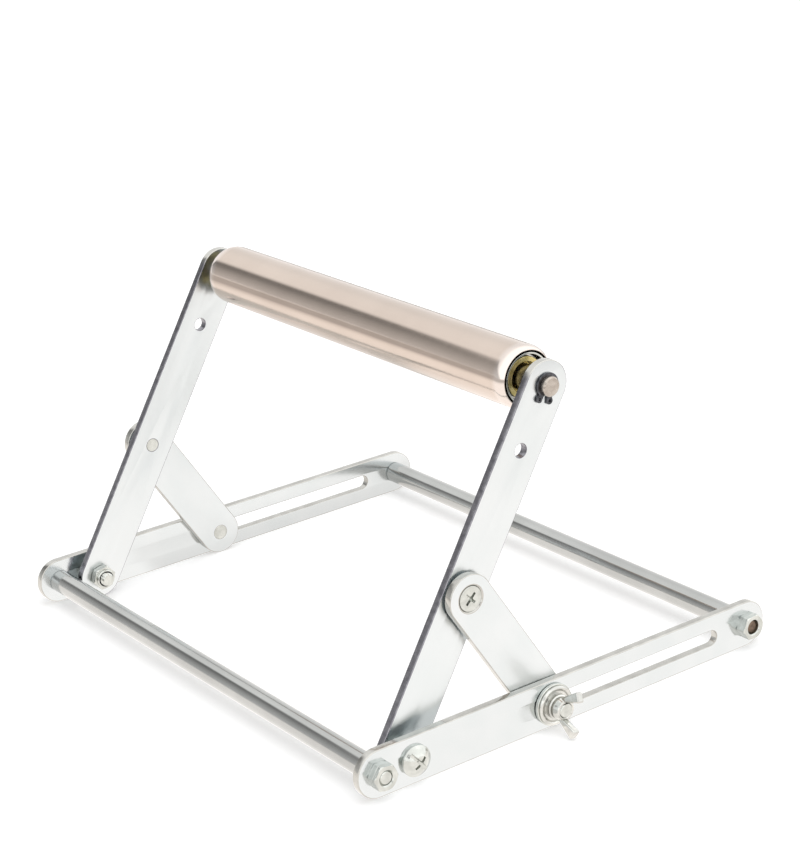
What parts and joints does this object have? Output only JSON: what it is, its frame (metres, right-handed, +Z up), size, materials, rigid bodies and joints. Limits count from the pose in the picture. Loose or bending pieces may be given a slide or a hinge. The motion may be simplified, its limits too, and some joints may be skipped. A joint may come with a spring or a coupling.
{
  "type": "roller stand",
  "caption": "Folding bench roller stand: slotted rails, leaning arms with clamped braces, and a ball-bearing support roller.",
  "frame": {"origin": "on the bench, midway between the two rails and midway between the two cross rods", "axes": "+X along the roller towards the right-hand rail, +Y from the front rod to the rear rod, +Z up from the bench"},
  "size_m": [0.287, 0.21, 0.1514],
  "materials": {
    "plated_bar": "bright zinc-nickel plated flat bar, sheared and tumbled edges",
    "drawn_rod": "bright drawn and plated round bar",
    "plated_fastener": "bright zinc plated screws, nuts and washers",
    "turned_roller": "satin drawn steel tube with a warm clear passivation",
    "yellow_zinc": "yellow passivated zinc on pressed steel",
    "black_oxide": "black oxide on spring steel",
    "ground_shaft": "ground round bar with sawn and chamfered ends",
    "bearing_steel": "polished bearing balls in a pressed cage"
  },
  "bodies": {
    "base": {"right_rail": "plated_bar", "left_rail": "plated_bar", "front_rod": "drawn_rod", "rear_rod": "drawn_rod", "front_right_nut": "plated_fastener", "front_left_nut": "plated_fastener", "rear_right_nut": "plated_fastener", "rear_left_nut": "plated_fastener", "right_pivot_screw": "plated_fastener", "left_pivot_screw": "plated_fastener", "right_pivot_spacer": "plated_fastener", "left_pivot_spacer": "plated_fastener", "right_pivot_nut": "plated_fastener", "left_pivot_nut": "plated_fastener"},
    "arm_frame": {"right_arm": "plated_bar", "left_arm": "plated_bar", "roller_shaft": "ground_shaft", "right_circlip": "black_oxide", "left_circlip": "black_oxide", "right_sleeve": "black_oxide", "left_sleeve": "black_oxide", "right_inner_race": "yellow_zinc", "left_inner_race": "yellow_zinc", "right_brace_screw": "plated_fastener", "left_brace_screw": "plated_fastener"},
    "right_brace_link": {"right_brace": "plated_bar", "right_brace_washer": "plated_fastener", "right_clamp_stud": "plated_fastener", "right_clamp_washer": "plated_fastener"},
    "left_brace_link": {"left_brace": "plated_bar", "left_brace_washer": "plated_fastener", "left_clamp_stud": "plated_fastener", "left_clamp_washer": "plated_fastener"},
    "right_clamp": {"right_wing_nut": "plated_fastener"},
    "left_clamp": {"left_wing_nut": "plated_fastener"},
    "roller": {"roller_tube": "turned_roller", "right_bearing_cup": "plated_fastener", "left_bearing_cup": "plated_fastener"},
    "ball_rings": {"right_ball_set": "bearing_steel", "left_ball_set": "bearing_steel", "right_ball_cage": "bearing_steel", "left_ball_cage": "bearing_steel"}
  },
  "joints": [
    {"name": "arm_tilt", "type": "hinge", "parent": "base", "child": "arm_frame", "pos_m": [0, -0.0785, 0.01], "axis": [-1, 0, 0], "range_deg": [-1.75, 56.25]},
    {"name": "right_brace_fold", "type": "hinge", "parent": "arm_frame", "child": "right_brace_link", "pos_m": [0.1215, -0.04456, 0.06485], "axis": [1, 0, 0], "range_deg": [-3.5, 112.5]},
    {"name": "left_brace_fold", "type": "hinge", "parent": "arm_frame", "child": "left_brace_link", "pos_m": [-0.1215, -0.04456, 0.06485], "axis": [1, 0, 0], "range_deg": [-3.5, 112.5]},
    {"name": "right_wing_turn", "type": "hinge", "parent": "right_brace_link", "child": "right_clamp", "pos_m": [0.132, -0.01062, 0.01], "axis": [1, 0, 0], "continuous": true},
    {"name": "left_wing_turn", "type": "hinge", "parent": "left_brace_link", "child": "left_clamp", "pos_m": [-0.132, -0.01062, 0.01], "axis": [-1, 0, 0], "continuous": true},
    {"name": "roller_spin", "type": "hinge", "parent": "arm_frame", "child": "roller", "pos_m": [0, 0.00096, 0.1384], "axis": [1, 0, 0], "continuous": true},
    {"name": "ball_ring_spin", "type": "hinge", "parent": "arm_frame", "child": "ball_rings", "pos_m": [0, 0.00096, 0.1384], "axis": [1, 0, 0], "continuous": true}
  ],
  "couplings": [
    {"joint": "right_brace_fold", "follows": "arm_tilt", "ratio": 2},
    {"joint": "left_brace_fold", "follows": "arm_tilt", "ratio": 2},
    {"joint": "ball_ring_spin", "follows": "roller_spin", "ratio": 0.59467}
  ]
}
